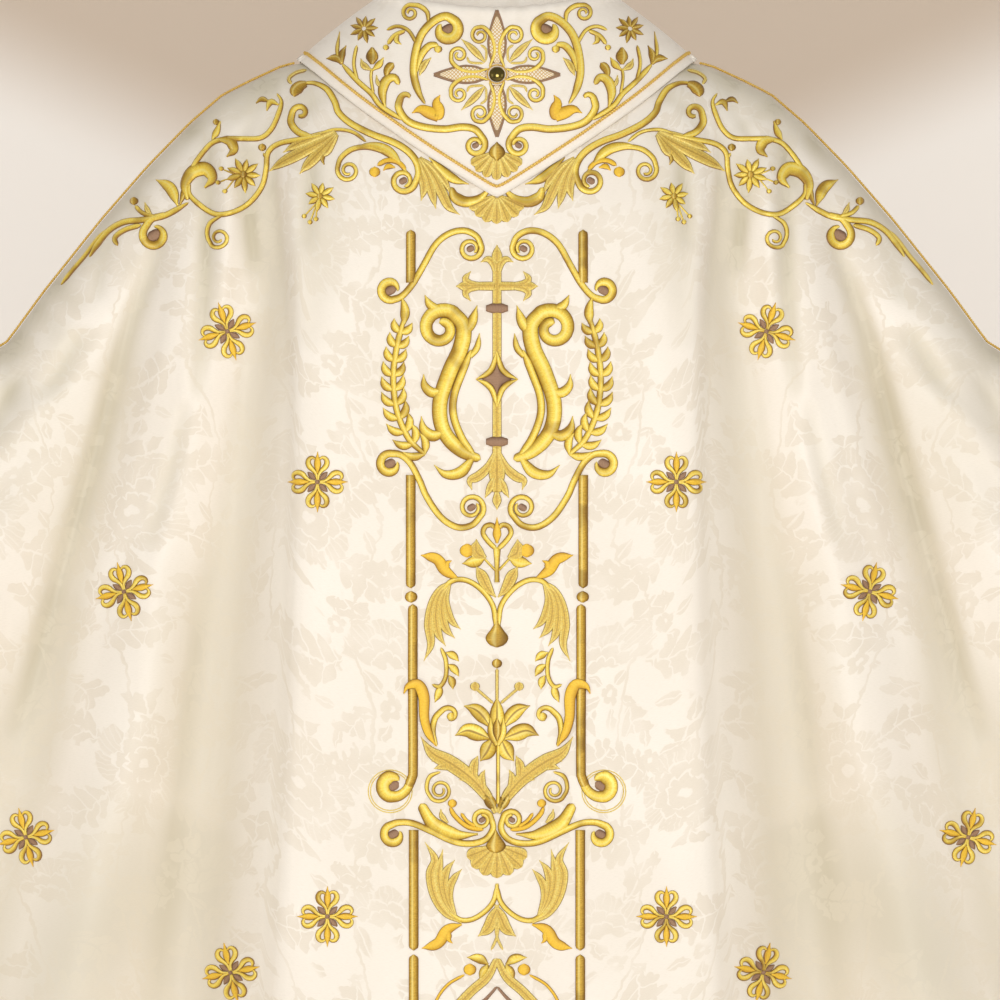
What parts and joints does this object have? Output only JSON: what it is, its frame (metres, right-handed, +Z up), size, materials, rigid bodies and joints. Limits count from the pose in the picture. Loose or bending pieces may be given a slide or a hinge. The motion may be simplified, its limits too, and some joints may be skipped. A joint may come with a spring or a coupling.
{
  "type": "chasuble",
  "caption": "Full chasuble held open as worn, front and back cloth joined over the shoulders, open at neck, sides and hem, with a rolled collar and a raised embroidered band down the front.",
  "frame": {"origin": "between the shoulders, at the height where the shoulder seams meet the collar, in the plane of the seams", "axes": "+X across the shoulders towards the viewer's right in a front view, -Y out of the front of the garment, +Z up"},
  "size_m": [1.4044, 0.3835, 1.3406],
  "materials": {
    "damask": "ivory figured damask with a soft sheen",
    "gold_embroidery": "padded satin stitch in bright gold thread",
    "gold_cord": "twisted gold cord",
    "stone": "polished dark olive gold"
  },
  "bodies": {
    "root": {"arch_left": "gold_embroidery", "arch_right": "gold_embroidery", "back_panel": "damask", "band_cross": "gold_embroidery", "band_drop": "gold_embroidery", "band_lily": "gold_embroidery", "band_shell": "gold_embroidery", "band_star": "gold_embroidery", "collar_arm_down": "gold_embroidery", "collar_arm_left": "gold_embroidery", "collar_arm_right": "gold_embroidery", "collar_arm_up": "gold_embroidery", "collar_back": "damask", "collar_cord_back": "gold_cord", "collar_cord_front": "gold_cord", "collar_front": "damask", "flower_chest_left": "gold_embroidery", "flower_chest_right": "gold_embroidery", "flower_hem_left": "gold_embroidery", "flower_hem_right": "gold_embroidery", "flower_hip_left": "gold_embroidery", "flower_hip_right": "gold_embroidery", "flower_side_left": "gold_embroidery", "flower_side_right": "gold_embroidery", "flower_skirt_left": "gold_embroidery", "flower_skirt_right": "gold_embroidery", "flower_skirt_side_left": "gold_embroidery", "flower_skirt_side_right": "gold_embroidery", "flower_sleeve_left": "gold_embroidery", "flower_sleeve_right": "gold_embroidery", "flower_waist_left": "gold_embroidery", "flower_waist_right": "gold_embroidery", "front_panel": "damask", "jewel": "stone", "jewel_setting": "gold_embroidery", "lyre_left": "gold_embroidery", "lyre_right": "gold_embroidery", "rail_ball_left": "gold_embroidery", "rail_ball_right": "gold_embroidery", "rail_foot_left": "gold_embroidery", "rail_foot_right": "gold_embroidery", "rail_hem_left": "gold_embroidery", "rail_hem_right": "gold_embroidery", "rail_lower_left": "gold_embroidery", "rail_lower_right": "gold_embroidery", "rail_middle_left": "gold_embroidery", "rail_middle_right": "gold_embroidery", "rail_top_left": "gold_embroidery", "rail_top_right": "gold_embroidery", "scroll_dip_left": "gold_embroidery", "scroll_dip_right": "gold_embroidery", "scroll_top_left": "gold_embroidery", "scroll_top_right": "gold_embroidery", "scroll_waist_left": "gold_embroidery", "scroll_waist_right": "gold_embroidery", "shoulder_piping_left": "gold_cord", "shoulder_piping_right": "gold_cord"}
  },
  "joints": []
}
